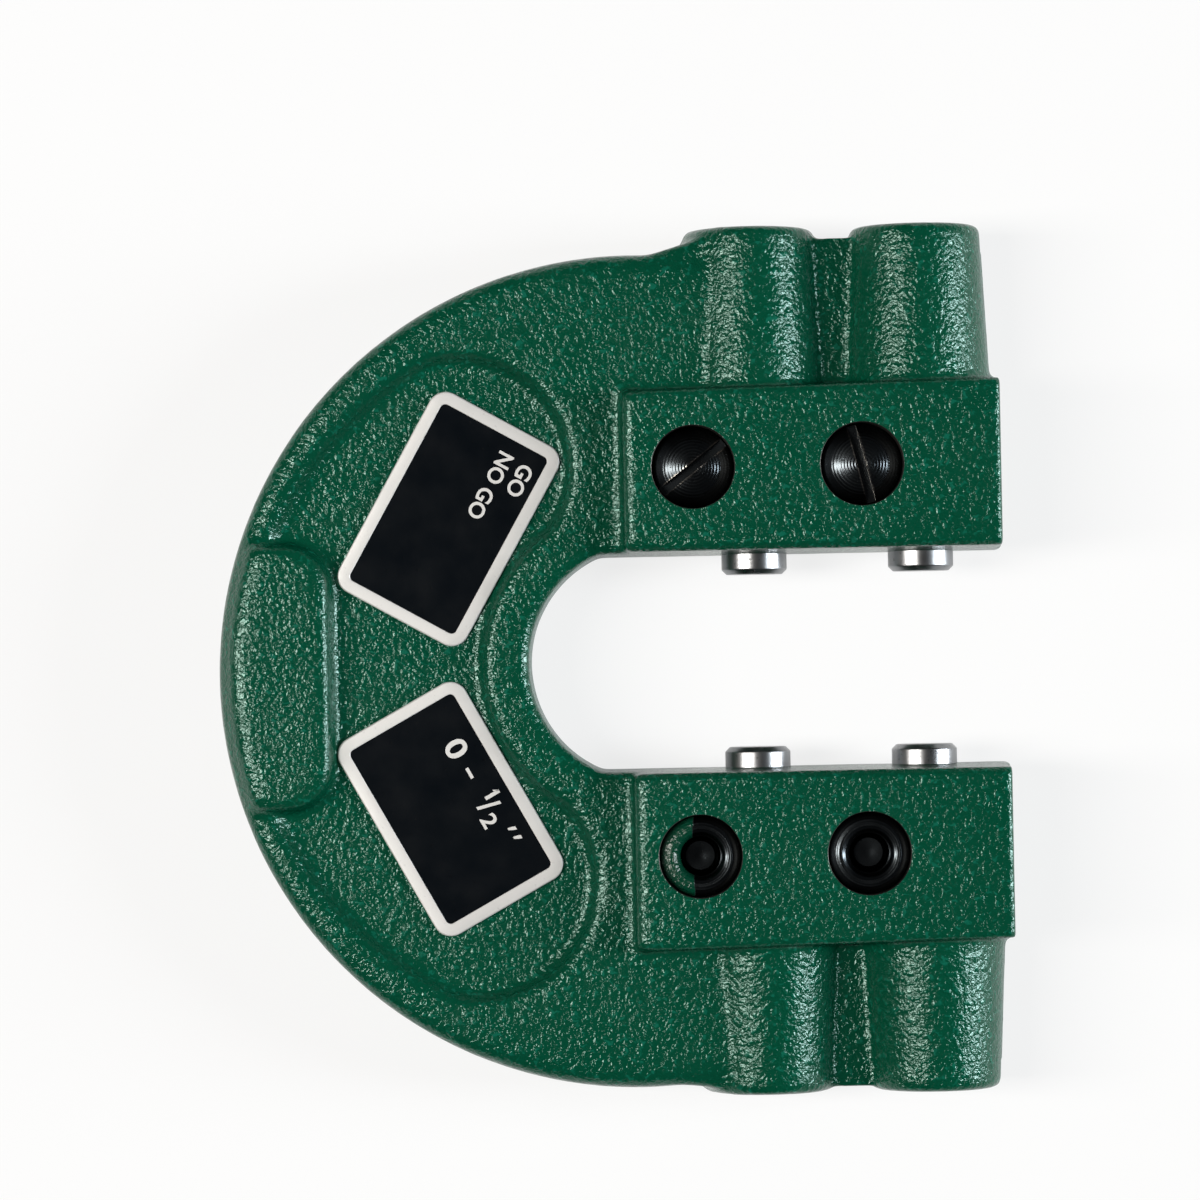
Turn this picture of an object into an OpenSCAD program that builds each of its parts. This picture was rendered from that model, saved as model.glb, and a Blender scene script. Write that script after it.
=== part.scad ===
// Adjustable limit snap gauge: two pairs of round gauging pins in a C-shaped casting.
// It lies flat: X runs to the open mouth, Y across the jaws, Z through the thickness.

/* [Overall] */
// Length from the back of the frame to the tip of the lower jaw
overall_l = 57.5; // [56:0.25:60]
// Width over the ends of the barrels
overall_w = 62.8; // [62:0.1:66]
// Thickness of the jaw blocks, the thickest part of the frame
frame_t = 12.7; // [12.4:0.1:14]

/* [Back] */
// Radius of the round back
back_r = 30.3; // [29.8:0.1:31]
// How far the centre of the back lies below the gauging line
back_drop = 0.6; // [0:0.1:0.8]
// Thickness of the rim
rim_t = 8; // [7.4:0.1:8.6]
// Draft of the cast walls, in degrees
draft = 2.7; // [1.5:0.1:3.5]
// Radius of the rim's cast edges
edge_r = 1.2; // [0.6:0.1:1.6]

/* [Throat] */
// Distance between the jaw faces
jaw_gap = 15.4; // [14.6:0.1:15.8]
// Radius of the round end of the throat
throat_r = 8.4; // [8.1:0.1:9]
// Depth of the throat from the tip of the lower jaw
throat_depth = 34.75; // [34:0.25:36]
// Bevel where the round end of the throat meets the rim
throat_bevel = 0.5; // [0.2:0.05:0.8]

/* [Jaws] */
// Length of a jaw block
jaw_l = 27.7; // [26.5:0.1:28.5]
// Width of the upper jaw block at its middle
upper_jaw_w = 12.35; // [11.8:0.05:13]
// Width of the lower jaw block at its middle
lower_jaw_w = 13.1; // [12.4:0.05:13.6]
// Slope of the upper block's outer edge, in degrees
upper_jaw_slope = 1; // [0:0.25:2]
// Slope of the lower block's outer edge, in degrees
lower_jaw_slope = -1; // [-2:0.25:0]
// How far the upper jaw's tip lies behind the lower one
upper_jaw_setback = 0.35; // [0:0.05:0.8]
// Radius of the jaw blocks' edges
jaw_edge_r = 0.4; // [0.2:0.05:0.6]

/* [Barrels] */
// Distance from a jaw's tip to the middle of its outer barrel
barrel_setback = 5.9; // [5.6:0.05:6.3]
// Radius of a barrel at its outer end
barrel_r = 4.75; // [4.4:0.05:5]
// Radius of the edge at a barrel's outer end
barrel_edge_r = 0.6; // [0.4:0.1:1.4]
// Thickness of the web between two barrels
web_t = 3; // [2:0.1:4]
// How far the upper web ends before the barrels
upper_web_setback = 0.8; // [0.4:0.1:1.5]
// How far the lower web ends before the barrels
lower_web_setback = 0.3; // [0.2:0.1:1.5]

/* [Pocket] */
// Depth of the label pocket below the rim
pocket_depth = 1; // [0.6:0.1:1.4]
// Slope of the pocket's walls from upright, in degrees
pocket_slope = 35; // [20:1:45]
// Width of the rim between the pocket and the back
pocket_rim = 4.25; // [3.8:0.05:5]
// How far the pocket's outer arc is centred behind the back's centre
pocket_shift = 2.4; // [1.8:0.1:2.8]
// Width of the wall between the pocket and the throat
throat_wall = 3.15; // [2.6:0.05:3.2]
// Direction of the pocket's upper end from the throat, in degrees
pocket_upper_end = 133; // [130:0.5:136]
// Direction of the pocket's lower end from the throat, in degrees
pocket_lower_end = 231.5; // [228:0.5:235]

/* [Thumb pad] */
// Thickness of the frame over the thumb pads
pad_t = 10; // [9.4:0.1:11]
// Length of the thumb pad across the back
pad_l = 18.8; // [16:0.2:20]
// Gap between the thumb pad and the upper plate
pad_gap = 0.8; // [0.7:0.05:1.8]
// Radius of the thumb pad's inner corners
pad_corner_r = 3; // [2:0.1:4]
// Slope of the thumb pad's walls from upright, in degrees
pad_slope = 12; // [6:1:14]

/* [Gauging pins] */
// Distance between the outer, GO, pin faces
go_gap = 12.6; // [12:0.05:13]
// Amount by which the inner, NO GO, pin faces stand closer
no_go_step = 0.05; // [0.02:0.01:0.3]
// Diameter of a gauging pin
pin_d = 4.76; // [4.5:0.02:4.9]
// Bevel at the ends of a gauging pin
pin_bevel = 0.35; // [0.1:0.05:0.6]
// Distance from the lower jaw's tip to the outer pin
go_setback = 6.25; // [5.9:0.05:6.8]
// Distance between the two pins of a jaw
pin_pitch = 12.15; // [11.8:0.05:12.6]
// Clearance around a gauging pin in its bore
pin_clearance = 0.02; // [0.01:0.01:0.05]
// Length of the bore that guides a pin, from the jaw face
guide_l = 10.3; // [9.8:0.1:10.4]

/* [Adjusting screws] */
// Diameter of an adjusting screw
adjust_d = 5.1; // [5:0.02:5.3]
// Length of an adjusting screw
adjust_l = 5; // [4:0.25:6]
// Bevel at the ends of an adjusting screw
adjust_bevel = 0.3; // [0.1:0.05:0.5]
// Depth of the outer adjusting screws below the barrels' ends
adjust_recess = 2.1; // [1.6:0.1:3]
// Clearance of the threads
thread_clearance = 0.05; // [0.02:0.01:0.08]
// Width of an adjusting screw's slot
adjust_slot_w = 0.8; // [0.5:0.05:1.2]
// Depth of an adjusting screw's slot
adjust_slot_depth = 1.2; // [0.6:0.1:2]

/* [Locks] */
// Diameter of the cross holes
lock_d = 6; // [5.8:0.05:6.2]
// Distance between a cross hole's axis and its pin's axis
lock_offset = 4.4; // [4.2:0.05:4.6]
// Distance from the jaw face to the cross holes
lock_depth = 6.3; // [5.8:0.1:6.6]
// Clearance of the locks in the cross holes
lock_clearance = 0.03; // [0.01:0.01:0.06]
// Gap left between a lock's cone and its pin
lock_gap = 0.05; // [0.03:0.01:0.12]
// Depth of the lock heads below the block's face
lock_recess = 0.5; // [0.45:0.05:0.8]
// Height of the domed heads
dome_h = 0.5; // [0.2:0.05:0.8]
// Diameter of a locking screw's thread
lock_thread_d = 2.8; // [2.5:0.05:3.3]
// How far a locking screw's tip stays inside its bush
tip_depth = 2.2; // [1.2:0.1:2.6]
// Width of a locking screw's slot
lock_slot_w = 0.65; // [0.4:0.05:1]
// Depth of a locking screw's slot
lock_slot_depth = 1.1; // [0.6:0.1:1.4]
// Radius of the crest of a bush's rounded rim
bush_crest_r = 2.3; // [2.1:0.05:2.6]
// Depth of the funnel into a bush's thread
funnel_depth = 0.9; // [0.5:0.1:1.2]

/* [Plates] */
// How much wider a plate is than the radius of the pocket's upper end
plate_spread = 2.47; // [0.5:0.05:2.47]
// How much longer a plate is than it is wide
plate_stretch = 5.8; // [4:0.1:5.9]
// Gap between a plate and the foot of the wall along the throat
plate_gap = 0.25; // [0.2:0.05:0.4]
// Thickness of a plate
plate_t = 0.4; // [0.2:0.05:0.6]
// Radius of a plate's corners
plate_corner_r = 1.3; // [0.6:0.1:2]
// Direction of the upper plate's middle from the throat, in degrees
upper_plate_dir = 143; // [142:0.5:144]
// Direction of the lower plate's middle from the throat, in degrees
lower_plate_dir = 215.5; // [215:0.5:217]
// Turn of the upper plate's long side, in degrees
upper_plate_turn = 60.5; // [58:0.5:63]
// Turn of the lower plate's long side, in degrees
lower_plate_turn = -61; // [-63:0.5:-58]

/* [Hidden] */
$fn = 96;

UPPER = 0;
LOWER = 1;
GO = 0;
NO_GO = 1;

// Steps of a rounded edge, and of a rounded dome
edge_steps = 4;
dome_steps = 8;
// How far a cutting shape runs past the face that it cuts
past = 1;
// Sides of a cone in a rounded block
cone_sides = 32;

mid_z = frame_t / 2;
tip_x = overall_l / 2;
jaw_face = jaw_gap / 2;
barrel_end = overall_w / 2;
draft_rise = tan(draft);

back_x = back_r - overall_l / 2;
throat_x = tip_x - throat_depth + throat_r;
throat_meets_jaw_x = throat_x - sqrt(throat_r * throat_r - jaw_face * jaw_face);
throat_centre = [throat_x, 0];

pin_x = [tip_x - go_setback, tip_x - go_setback - pin_pitch];
pin_face = [go_gap / 2, go_gap / 2 - no_go_step / 2];
pin_r = pin_d / 2;
thread_start = jaw_face + guide_l;
// A pin reaches from its measuring face to its adjusting screw
pin_l = barrel_end - adjust_recess - adjust_l - pin_face[GO];

jaw_tip = [tip_x - upper_jaw_setback, tip_x];
jaw_w = [upper_jaw_w, lower_jaw_w];
jaw_slope = [upper_jaw_slope, lower_jaw_slope];
web_setback = [upper_web_setback, lower_web_setback];
// The barrels are cast with their jaws, and the pins are then bored on one line
barrel_x = [for (tip = jaw_tip) [tip - barrel_setback, tip - barrel_setback - pin_pitch]];
// Reach of the back's arc on the side of each jaw
back_reach = [back_r - back_drop, back_r + back_drop];
// The shoulder between the back and the first barrel
shoulder_relief = 0.4;
shoulder_t = rim_t - 2 * shoulder_relief;
shoulder_drop = 0.6;
shoulder_inset = 2;

lock_y = jaw_face + lock_depth;
lock_r = lock_d / 2 - lock_clearance;
lock_thread_r = lock_thread_d / 2;
lock_top = mid_z - lock_recess;
// A cone of 45 degrees that passes the pin at lock_gap starts at this height
cone_top = lock_r - lock_offset + (pin_r + lock_gap) * sqrt(2);
bush_bore_r = lock_thread_r + thread_clearance;
// Half a thread's wall is left at the tip of a bush's cone
bush_nose_wall = 0.3;
bush_nose_r = bush_bore_r + bush_nose_wall;
// Directions of the slots in the locking screws' heads
lock_slot_turn = [[104, 38], [64, 20]];

pocket_floor = rim_t / 2 - pocket_depth;
pocket_in_r = throat_r + throat_wall;
pocket_out_r = back_r - pocket_rim;
pocket_centre = [back_x - pocket_shift, -back_drop];
pocket_ends = [pocket_upper_end, pocket_lower_end];
// How far a wall of the pocket runs inwards on its way down to the floor
wall_run = pocket_depth * tan(pocket_slope);
// An end is this much wider than a circle that just touches both arcs
end_spread = 0.3;

plate_w = to_hundredth(touching_r(pocket_upper_end) + plate_spread);
plate_l = plate_w + plate_stretch;
plate_reach = pocket_in_r + wall_run + plate_gap + plate_w / 2;
plate_dir = [upper_plate_dir, lower_plate_dir];
plate_turn = [upper_plate_turn, lower_plate_turn];
// The upper plate's corner nearest to the back, and the pad that ends before it
plate_corner = [plate_l / 2 - plate_corner_r, plate_w / 2 - plate_corner_r];
plate_back_x = throat_x + plate_reach * cos(upper_plate_dir)
    - plate_corner * [cos(upper_plate_turn), sin(upper_plate_turn)] - plate_corner_r;
pad_w = plate_back_x - pad_gap + overall_l / 2;

casting_green = [0.02, 0.27, 0.17];
ground_steel = [0.78, 0.78, 0.8];
black_oxide = [0.12, 0.11, 0.11];
printed_plate = [0.06, 0.07, 0.11];

// A size rounded to a hundredth of a millimetre
function to_hundredth(size) = round(size * 100) / 100;

// A unit vector in the plane of the frame
function heading(angle) = [cos(angle), sin(angle)];

// Points of a rounded outer corner of radius r, from the side to the top
function corner(x, y, r, steps) = [for (i = [0:steps])
    let (a = 90 * i / steps) [x - r + r * cos(a), y - r + r * sin(a)]];

// Points of a dome from its rim of radius r up to its crown of radius crown_r
function dome(r, crown_r, base, h) = [for (i = [0:dome_steps])
    let (a = 90 * i / dome_steps) [crown_r + (r - crown_r) * cos(a), base + h * sin(a)]];

// Points turned end to end and mirrored by the two signs
function mirrored(points, x_sign, y_sign) = [for (i = [len(points) - 1:-1:0])
    [x_sign * points[i][0], y_sign * points[i][1]]];

// A closed outline with four like quarters, from the points of its upper right quarter
function four_quarters(side) = concat(side, mirrored(side, -1, 1),
    [for (p = side) -p], mirrored(side, 1, -1));

// Radius of the circle on a heading from the throat that touches both of the pocket's arcs
function touching_r(angle) =
    let (d = throat_centre - pocket_centre, along = d * heading(angle))
    (pocket_out_r ^ 2 - pocket_in_r ^ 2 - d * d - 2 * pocket_in_r * along)
        / (2 * (along + pocket_in_r + pocket_out_r));

// Puts a shape drawn for the upper jaw at the middle height on either jaw
module on_jaw(jaw) {
    translate([0, 0, mid_z]) mirror([0, jaw, 0]) children();
}

// Turns a shape drawn along +Z to lie across the jaw at x, so that +Z points out of the frame
module across_jaw(x) {
    translate([x, 0, 0]) rotate([-90, 0, 0]) children();
}

// Puts a shape drawn along +Z on a cross hole, with the upper jaw's heads on the front face
module at_lock(jaw, station) {
    translate([pin_x[station] - lock_offset, (jaw == UPPER ? 1 : -1) * lock_y, mid_z])
        mirror([0, 0, jaw]) children();
}

// Repeats a shape drawn on the upper half on both halves of the middle plane
module both_faces() {
    for (face = [0, 1]) mirror([0, 0, face]) children();
}

// The round back as a disc with drafted sides and rounded edges
module back_disc(r, t) {
    half = t / 2;
    edge = corner(r - (half - edge_r) * draft_rise, half, edge_r, edge_steps);
    translate([back_x, -back_drop, 0])
        both_faces()
            rotate_extrude() polygon(concat([[0, 0], [r, 0]], edge, [[0, half]]));
}

// The pocket's cut in the front face, with sloped walls
module label_pocket() {
    run = pocket_depth + past;
    slope = run * tan(pocket_slope);
    far = overall_l;
    translate([0, 0, pocket_floor]) difference() {
        intersection() {
            translate(pocket_centre)
                cylinder(h = run, r1 = pocket_out_r - wall_run, r2 = pocket_out_r - wall_run + slope);
            union() {
                translate([0, 0, -past]) linear_extrude(run + 2 * past)
                    polygon([throat_centre,
                        throat_centre + far * heading(pocket_ends[UPPER]),
                        throat_centre - [2 * far, 0],
                        throat_centre + far * heading(pocket_ends[LOWER])]);
                for (angle = pocket_ends) {
                    end_r = touching_r(angle);
                    translate(throat_centre + (pocket_in_r + end_r) * heading(angle))
                        cylinder(h = run, r1 = end_r + end_spread - wall_run,
                            r2 = end_r + end_spread - wall_run + slope);
                }
            }
        }
        translate([throat_x, 0, -past])
            cylinder(h = run + 2 * past, r1 = pocket_in_r + wall_run + past * tan(pocket_slope),
                r2 = pocket_in_r + wall_run - (run + past) * tan(pocket_slope));
    }
}

// The raised thumb pads at the back, one on each face
module thumb_pad() {
    half = pad_t / 2;
    spread = half * tan(pad_slope);
    inner_x = pad_w - overall_l / 2 - pad_corner_r;
    intersection() {
        back_disc(back_r - edge_r / 2, pad_t);
        hull() both_faces()
            for (x = [-overall_l / 2, inner_x], y = [-1, 1] * (pad_l / 2 - pad_corner_r))
                translate([x, y - back_drop, 0])
                    cylinder(h = half, r1 = pad_corner_r + spread, r2 = pad_corner_r, $fn = cone_sides);
    }
}

// Upright section of a jaw block of a given width, drafted on both sides, with rounded edges
module block_section(w) {
    lean = (mid_z - jaw_edge_r) * draft_rise;
    polygon(four_quarters(concat([[w / 2, 0]], corner(w / 2 - lean, mid_z, jaw_edge_r, edge_steps))));
}

// A jaw block, drafted on its outer edge, its root and its tip
module jaw_block(jaw) {
    middle = jaw_tip[jaw] - jaw_l / 2;
    outer = jaw_face + jaw_w[jaw];
    intersection() {
        translate([middle, 0, 0]) rotate(jaw_slope[jaw]) rotate([90, 0, 90])
            linear_extrude(2 * jaw_l, center = true) block_section(2 * outer);
        translate([middle, outer, 0]) rotate([90, 0, 0])
            linear_extrude(2 * outer, center = true) block_section(jaw_l);
    }
}

// A tapered barrel around a pin bore, from inside the block to its rounded end
module barrel(jaw, station) {
    start_r = barrel_r + (barrel_end - lock_y) * draft_rise;
    across_jaw(barrel_x[jaw][station]) rotate_extrude()
        polygon(concat([[0, lock_y], [start_r, lock_y]],
            corner(barrel_r, barrel_end, barrel_edge_r, edge_steps), [[0, barrel_end]]));
}

// The thin web between a jaw's two barrels
module barrel_web(jaw) {
    translate([barrel_x[jaw][NO_GO], lock_y, -web_t / 2])
        cube([pin_pitch, barrel_end - web_setback[jaw] - lock_y, web_t]);
}

// The shoulder that leads from the round back up to the first barrel
module shoulder(jaw) {
    foot = back_reach[jaw] - shoulder_drop;
    end_x = barrel_x[jaw][NO_GO];
    top = barrel_end - lower_web_setback;
    linear_extrude(shoulder_t, center = true)
        polygon([[back_x, foot], [end_x - shoulder_inset, top], [end_x, top], [end_x, lock_y]]);
}

// The part of the casting that belongs to one jaw
module jaw_casting(jaw) {
    on_jaw(jaw) {
        jaw_block(jaw);
        for (station = [GO, NO_GO]) barrel(jaw, station);
        barrel_web(jaw);
        shoulder(jaw);
    }
}

// The rim and the floor of the back, up to the first barrels
module back_casting() {
    intersection() {
        difference() {
            back_disc(back_r, rim_t);
            both_faces() label_pocket();
        }
        translate([pin_x[NO_GO] - 2 * overall_l, -overall_w, -frame_t])
            cube([2 * overall_l, 2 * overall_w, 2 * frame_t]);
    }
}

// The opening between the jaws: a round end and drafted jaw faces, bevelled at their edges
module throat_cut() {
    reach = mid_z + past;
    bevel_z = rim_t / 2 - throat_bevel;
    bevel_r = throat_r + bevel_z * draft_rise;
    jaw_bevel_z = mid_z - jaw_edge_r;
    jaw_bevel_y = jaw_face + jaw_bevel_z * draft_rise;
    overlap = 0.05;
    intersection() {
        both_faces() translate([throat_x, 0, 0]) {
            cylinder(h = reach, r1 = throat_r, r2 = throat_r + reach * draft_rise);
            translate([0, 0, bevel_z])
                cylinder(h = reach - bevel_z, r1 = bevel_r, r2 = bevel_r + reach - bevel_z);
        }
        translate([throat_meets_jaw_x - 3 * throat_r, -3 * throat_r, -2 * reach])
            cube([3 * throat_r, 6 * throat_r, 4 * reach]);
    }
    translate([throat_meets_jaw_x - overlap, 0, 0]) rotate([90, 0, 90]) linear_extrude(overall_l)
        polygon(four_quarters([[jaw_face, 0], [jaw_bevel_y, jaw_bevel_z],
            [jaw_bevel_y + reach - jaw_bevel_z, reach]]));
}

// A pin bore with its guide, and the thread behind it that opens at the barrel's end
module pin_bore(station) {
    across_jaw(pin_x[station]) {
        cylinder(h = thread_start, r = pin_r + pin_clearance);
        translate([0, 0, thread_start])
            cylinder(h = barrel_end - thread_start + past, r = adjust_d / 2 + thread_clearance);
    }
}

module frame() {
    color(casting_green) difference() {
        union() {
            translate([0, 0, mid_z]) {
                back_casting();
                thumb_pad();
            }
            for (jaw = [UPPER, LOWER]) jaw_casting(jaw);
        }
        translate([0, 0, mid_z]) throat_cut();
        for (jaw = [UPPER, LOWER], station = [GO, NO_GO]) {
            on_jaw(jaw) pin_bore(station);
            at_lock(jaw, station) cylinder(h = 2 * frame_t, d = lock_d, center = true);
        }
    }
}

// A gauging pin, bevelled at both ends, with its measuring face towards the mouth's middle
module gauging_pin(jaw, station) {
    color(ground_steel) on_jaw(jaw) across_jaw(pin_x[station])
        translate([0, 0, pin_face[station]]) rotate_extrude()
            polygon([[0, 0], [pin_r - pin_bevel, 0], [pin_r, pin_bevel], [pin_r, pin_l - pin_bevel],
                [pin_r - pin_bevel, pin_l], [0, pin_l]]);
}

// An adjusting screw that bears on the back of its pin, slotted at its outer end
module adjusting_screw(jaw, station) {
    r = adjust_d / 2;
    color(black_oxide) on_jaw(jaw) across_jaw(pin_x[station])
        translate([0, 0, pin_face[station] + pin_l]) difference() {
            rotate_extrude()
                polygon([[0, 0], [r - adjust_bevel, 0], [r, adjust_bevel], [r, adjust_l - adjust_bevel],
                    [r - adjust_bevel, adjust_l], [0, adjust_l]]);
            translate([-adjust_d, -adjust_slot_w / 2, adjust_l - adjust_slot_depth])
                cube([2 * adjust_d, adjust_slot_w, adjust_slot_depth + past]);
        }
}

// A locking screw: domed slotted head, a cone that wedges the pin, and a threaded shank
module locking_screw(jaw, station) {
    tip = tip_depth - lock_top;
    color(black_oxide) at_lock(jaw, station) difference() {
        rotate_extrude()
            polygon(concat([[0, tip], [lock_thread_r, tip],
                [lock_thread_r, cone_top - lock_r + lock_thread_r], [lock_r, cone_top]],
                dome(lock_r, 0, lock_top - dome_h, dome_h)));
        rotate(lock_slot_turn[jaw][station])
            translate([-lock_d, -lock_slot_w / 2, lock_top - lock_slot_depth])
                cube([2 * lock_d, lock_slot_w, lock_slot_depth + past]);
    }
}

// A locking bush: rounded rim, funnel into the thread, and a cone that wedges the pin
module locking_bush(jaw, station) {
    color(black_oxide) at_lock(jaw, station) mirror([0, 0, 1]) rotate_extrude()
        polygon(concat([[bush_bore_r, cone_top - lock_r + bush_nose_r],
            [bush_nose_r, cone_top - lock_r + bush_nose_r], [lock_r, cone_top]],
            dome(lock_r, bush_crest_r, lock_top - dome_h, dome_h), [[bush_bore_r, lock_top - funnel_depth]]));
}

// A printed metal plate with round corners, stuck on the pocket's floor
module label_plate(jaw) {
    color(printed_plate)
        translate([0, 0, mid_z + pocket_floor])
            translate(throat_centre + plate_reach * heading(plate_dir[jaw]))
                rotate(plate_turn[jaw]) linear_extrude(plate_t) {
                    square([plate_l - 2 * plate_corner_r, plate_w], center = true);
                    square([plate_l, plate_w - 2 * plate_corner_r], center = true);
                    for (x = [-1, 1], y = [-1, 1])
                        translate([x * (plate_l / 2 - plate_corner_r), y * (plate_w / 2 - plate_corner_r)])
                            circle(plate_corner_r);
                }
}

frame();
gauging_pin(UPPER, GO);  // upper_go_pin
gauging_pin(UPPER, NO_GO);  // upper_no_go_pin
gauging_pin(LOWER, GO);  // lower_go_pin
gauging_pin(LOWER, NO_GO);  // lower_no_go_pin
adjusting_screw(UPPER, GO);  // upper_go_adjusting_screw
adjusting_screw(UPPER, NO_GO);  // upper_no_go_adjusting_screw
adjusting_screw(LOWER, GO);  // lower_go_adjusting_screw
adjusting_screw(LOWER, NO_GO);  // lower_no_go_adjusting_screw
locking_screw(UPPER, GO);  // upper_go_locking_screw
locking_screw(UPPER, NO_GO);  // upper_no_go_locking_screw
locking_screw(LOWER, GO);  // lower_go_locking_screw
locking_screw(LOWER, NO_GO);  // lower_no_go_locking_screw
locking_bush(UPPER, GO);  // upper_go_locking_bush
locking_bush(UPPER, NO_GO);  // upper_no_go_locking_bush
locking_bush(LOWER, GO);  // lower_go_locking_bush
locking_bush(LOWER, NO_GO);  // lower_no_go_locking_bush
label_plate(UPPER);  // go_no_go_plate
label_plate(LOWER);  // range_plate
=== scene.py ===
"""Looks of a small adjustable snap gauge: painted casting, gauging pins, screws, bushes and plates."""
import math

import bmesh
import bpy
from mathutils import Matrix, Vector, noise


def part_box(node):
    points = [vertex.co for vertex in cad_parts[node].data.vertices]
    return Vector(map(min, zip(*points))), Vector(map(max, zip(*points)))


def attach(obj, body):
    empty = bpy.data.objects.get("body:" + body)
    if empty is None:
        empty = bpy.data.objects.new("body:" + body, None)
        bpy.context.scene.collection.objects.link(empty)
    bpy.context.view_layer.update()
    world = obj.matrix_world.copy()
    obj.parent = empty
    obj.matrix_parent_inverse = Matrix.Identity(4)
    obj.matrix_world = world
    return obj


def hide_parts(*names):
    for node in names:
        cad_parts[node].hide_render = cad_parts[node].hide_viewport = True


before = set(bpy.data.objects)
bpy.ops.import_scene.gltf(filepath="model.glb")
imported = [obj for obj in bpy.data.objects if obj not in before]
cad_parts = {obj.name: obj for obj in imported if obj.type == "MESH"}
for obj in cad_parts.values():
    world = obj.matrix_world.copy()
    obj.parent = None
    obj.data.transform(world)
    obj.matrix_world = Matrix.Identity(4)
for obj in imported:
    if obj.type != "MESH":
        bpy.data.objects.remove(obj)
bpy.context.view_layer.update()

bl_info = {
    "name": "Snap gauge",
    "version": (1, 0, 0),
    "blender": (4, 5, 0),
    "location": "View3D > Sidebar > Snap gauge",
    "description": "Builds the looks of an adjustable snap gauge around its packed model",
    "category": "Object",
}

MM = 0.001
JAWS = ("upper", "lower")
STATIONS = ("go", "no_go")
# Directions of the slots in the locking screws' heads, as in the CAD source
SLOT_TURN = {
    ("upper", "go"): 104.0,
    ("upper", "no_go"): 38.0,
    ("lower", "go"): 64.0,
    ("lower", "no_go"): 20.0,
}
# Distance of the jaws' inner faces from the middle, and of the step in a pin bore
JAW_FACE = 7.7 * MM
BORE_STEP = 18.0 * MM
# Edges of the casting's zones, measured from the middle of the frame
BLOCK_X = -1.2 * MM
BLOCK_Y = 7.4 * MM
BLOCK_Z = 4.2 * MM
ROOT_X = (-1.6 * MM, 2.2 * MM)
ROOT_Z = 3.0 * MM
BARREL_END_X = 16.0 * MM
BARREL_END_Y = 29.5 * MM
PAD_X = -17.5 * MM
PAD_Y = 12.0 * MM
SHOULDER_X = 8.0 * MM
SHOULDER_Y = 28.3 * MM
GAP_X = -7.5 * MM
GAP_Y = 8.4 * MM
SEAM_HALF_WIDTH = 0.35 * MM
# Waves of the casting's skin, in counts per metre, and the shift between the two
SLOW_WAVES = 150.0
QUICK_WAVES = 420.0
WAVE_SHIFT = Vector((7.0, 3.0, 1.0))
# Play around an adjusting screw and length of the thread in its bore
SCREW_PLAY = 0.06 * MM
BORE_THREAD = 4.2 * MM
# Steps around a pin bore, a cross hole and the plugs that fill the CAD's bores
BORE_STEPS = 56
HOLE_STEPS = 72
PLUG_STEPS = 64
# Radii of a locking screw's shank and of the dimple in its tip, with the dimple's depth and the tip's bevel
SHANK_R = 1.40 * MM
DIMPLE_R = 0.28 * MM
DIMPLE_DEPTH = 0.05 * MM
TIP_BEVEL = 0.1 * MM
# Radii of a bush's bore, nose and crest, and the depth of its thread
BUSH_BORE_R = 1.45 * MM
BUSH_NOSE_R = 1.75 * MM
BUSH_CREST_R = 2.1 * MM
BUSH_THREAD = 0.16 * MM
# Drop of a bush's rim from its crest to the outside and into the funnel
BUSH_RIM_DROP = 0.8 * MM
BUSH_FUNNEL_DROP = 0.9 * MM
# Height above the middle plane at which the locking noses reach their full radius
CONE_END = 2.0065 * MM
# Turn of each plate in degrees and its lettering: text, place along and across the line, width and height in
# millimetres, and the lean of slanted marks. The flag of the 1 and the inch mark are signs of their own.
LETTERING = {
    "go_no_go_plate": (240.5, (
        ("GO", -4.87, 3.22, 2.40, 1.20),
        ("NO GO", -3.55, 1.51, 5.22, 1.20),
    )),
    "range_plate": (-61.0, (
        ("0", -3.57, 2.56, 1.28, 1.66),
        ("-", -1.55, 2.50, 0.85, 0.24),
        ("1", 0.62, 3.14, 0.27, 1.16),
        ("/", 0.46, 3.51, 0.28, 0.36),
        ("/", 1.16, 2.53, 0.68, 1.72),
        ("2", 2.14, 2.0, 0.87, 1.18),
        ("'", 3.48, 3.15, 0.42, 0.56, 0.35),
        ("'", 4.22, 3.18, 0.42, 0.56, 0.35),
    )),
}
# Thickness of the letters and how far they are sunk into the field
LETTER_THICKNESS = 0.02 * MM
LETTER_SINK = 0.005 * MM
# Places, size and colours of the lamps, and the floor's radius and drop, in metres
LAMP_SIZE = (0.12, 0.50)
LEFT_PLACE = (-0.412, 0.0, 0.567)
RIGHT_PLACE = (0.650, 0.0, 0.263)
WARM = (1.0, 0.955, 0.89)
COOL = (0.90, 0.96, 1.0)
FLOOR_RADIUS = 3.0
FLOOR_DROP = 0.02 * MM
# Share of plain white in the floor, part of it that metal shows, and heights between which the horizon fades
FLOOR_WHITE = 0.8
FLOOR_MIRRORED = 0.5
HORIZON = (0.03, 0.12)
WHITE = (1.0, 1.0, 1.0, 1.0)
SENSOR_WIDTH = 36.0


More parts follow.
